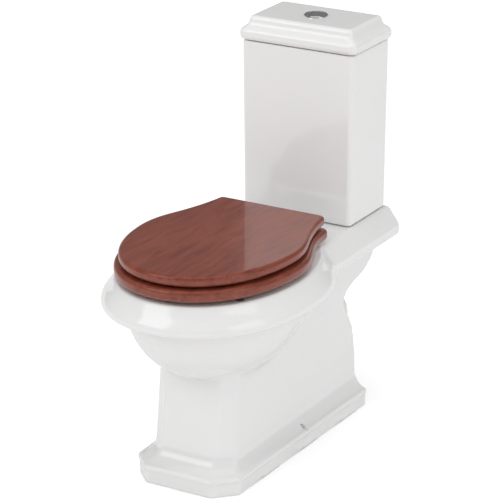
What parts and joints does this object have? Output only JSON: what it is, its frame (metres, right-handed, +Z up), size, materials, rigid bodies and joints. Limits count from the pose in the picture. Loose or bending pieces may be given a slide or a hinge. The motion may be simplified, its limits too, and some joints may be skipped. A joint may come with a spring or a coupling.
{
  "type": "close coupled toilet",
  "caption": "Traditional close coupled toilet with a moulded ceramic pan and cistern, a push button flush and a wooden seat and lid that lift on a bar hinge.",
  "frame": {"origin": "on the floor, in the middle of the footprint of the whole object", "axes": "+Z up, -Y towards the user (front of the bowl), +Y towards the wall, +X to the right when looking along +Y"},
  "size_m": [0.4319, 0.753, 0.8563],
  "materials": {
    "glazed_ceramic": "glossy white vitreous glaze",
    "mahogany": "mahogany under high gloss lacquer",
    "chrome_plate": "polished chrome plate",
    "white_plastic": "white moulded plastic",
    "grey_plastic": "grey moulded plastic",
    "black_rubber": "black rubber",
    "brass_fitting": "plain brass",
    "zinc_steel": "zinc plated steel"
  },
  "bodies": {
    "base": {"pan": "glazed_ceramic", "cistern": "glazed_ceramic", "doughnut_washer": "black_rubber", "flush_valve_washer": "black_rubber", "flush_valve_base": "white_plastic", "flush_valve_nut": "grey_plastic", "flush_valve_tower": "white_plastic", "lever_bracket": "grey_plastic", "lever_pins_pair": "brass_fitting", "coupling_bolts": "zinc_steel", "coupling_bolt_washers": "black_rubber", "coupling_nut_washers": "black_rubber", "coupling_wing_nuts": "brass_fitting", "fill_valve_body": "white_plastic", "fill_valve_washer": "black_rubber", "fill_valve_nut": "grey_plastic", "fill_valve_head": "grey_plastic", "float_arm_pin": "brass_fitting", "hinge_posts": "chrome_plate", "hinge_rod": "chrome_plate", "hinge_post_washers": "black_rubber", "hinge_nut_washers": "black_rubber", "hinge_wing_nuts": "white_plastic", "floor_brackets": "white_plastic", "side_fixing_screws": "chrome_plate"},
    "cistern_lid": {"cistern_lid": "glazed_ceramic", "button_collar": "chrome_plate", "button_collar_nut": "white_plastic"},
    "full_button": {"full_flush_button": "chrome_plate", "full_push_rod": "white_plastic"},
    "half_button": {"half_flush_button": "chrome_plate", "half_push_rod": "white_plastic"},
    "full_lever": {"full_flush_lever": "grey_plastic"},
    "half_lever": {"half_flush_lever": "grey_plastic"},
    "plunger": {"flush_valve_plunger": "grey_plastic", "flush_valve_seal": "black_rubber"},
    "float": {"float_cup": "grey_plastic", "float_link_rod": "brass_fitting"},
    "float_arm": {"float_arm": "white_plastic"},
    "seat_ring": {"seat_ring": "mahogany", "ring_hinge_straps": "chrome_plate", "ring_hinge_screws": "chrome_plate", "ring_buffers": "black_rubber"},
    "seat_lid": {"seat_lid": "mahogany", "lid_hinge_straps": "chrome_plate", "lid_hinge_screws": "chrome_plate", "lid_buffers": "black_rubber"}
  },
  "joints": [
    {"name": "cistern_lid_lift", "type": "slide", "parent": "base", "child": "cistern_lid", "axis": [0, 0, 1], "range_m": [0, 0.1]},
    {"name": "full_flush_press", "type": "slide", "parent": "cistern_lid", "child": "full_button", "axis": [0, 0, -1], "range_m": [0, 0.006], "stiffness_N_per_m": 600, "springref_m": -0.004},
    {"name": "half_flush_press", "type": "slide", "parent": "cistern_lid", "child": "half_button", "axis": [0, 0, -1], "range_m": [0, 0.006], "stiffness_N_per_m": 600, "springref_m": -0.004},
    {"name": "full_lever_turn", "type": "hinge", "parent": "base", "child": "full_lever", "pos_m": [0, 0.2975, 0.668], "axis": [0, 1, 0], "range_deg": [0, 29.8]},
    {"name": "half_lever_turn", "type": "hinge", "parent": "base", "child": "half_lever", "pos_m": [0, 0.2805, 0.668], "axis": [0, -1, 0], "range_deg": [0, 29.8]},
    {"name": "flush_valve_lift", "type": "slide", "parent": "base", "child": "plunger", "axis": [0, 0, 1], "range_m": [0, 0.007]},
    {"name": "float_slide", "type": "slide", "parent": "base", "child": "float", "axis": [0, 0, 1], "range_m": [-0.01, 0], "stiffness_N_per_m": 60, "springref_m": 0.02},
    {"name": "float_arm_turn", "type": "hinge", "parent": "base", "child": "float_arm", "pos_m": [-0.078, 0.3325, 0.725], "axis": [0, 1, 0], "range_deg": [0, 19.5]},
    {"name": "seat_ring_hinge", "type": "hinge", "parent": "base", "child": "seat_ring", "pos_m": [0, 0.1285, 0.46], "axis": [-1, 0, 0], "range_deg": [0, 94]},
    {"name": "seat_lid_hinge", "type": "hinge", "parent": "seat_ring", "child": "seat_lid", "pos_m": [0, 0.1285, 0.46], "axis": [1, 0, 0], "range_deg": [-96, 0]}
  ],
  "couplings": [
    {"joint": "full_lever_turn", "follows": "full_flush_press", "rad_per_m": 86.667},
    {"joint": "half_lever_turn", "follows": "half_flush_press", "rad_per_m": 86.667},
    {"joint": "flush_valve_lift", "follows": "full_flush_press", "ratio": 1.1667},
    {"joint": "float_arm_turn", "follows": "float_slide", "rad_per_m": -34}
  ]
}
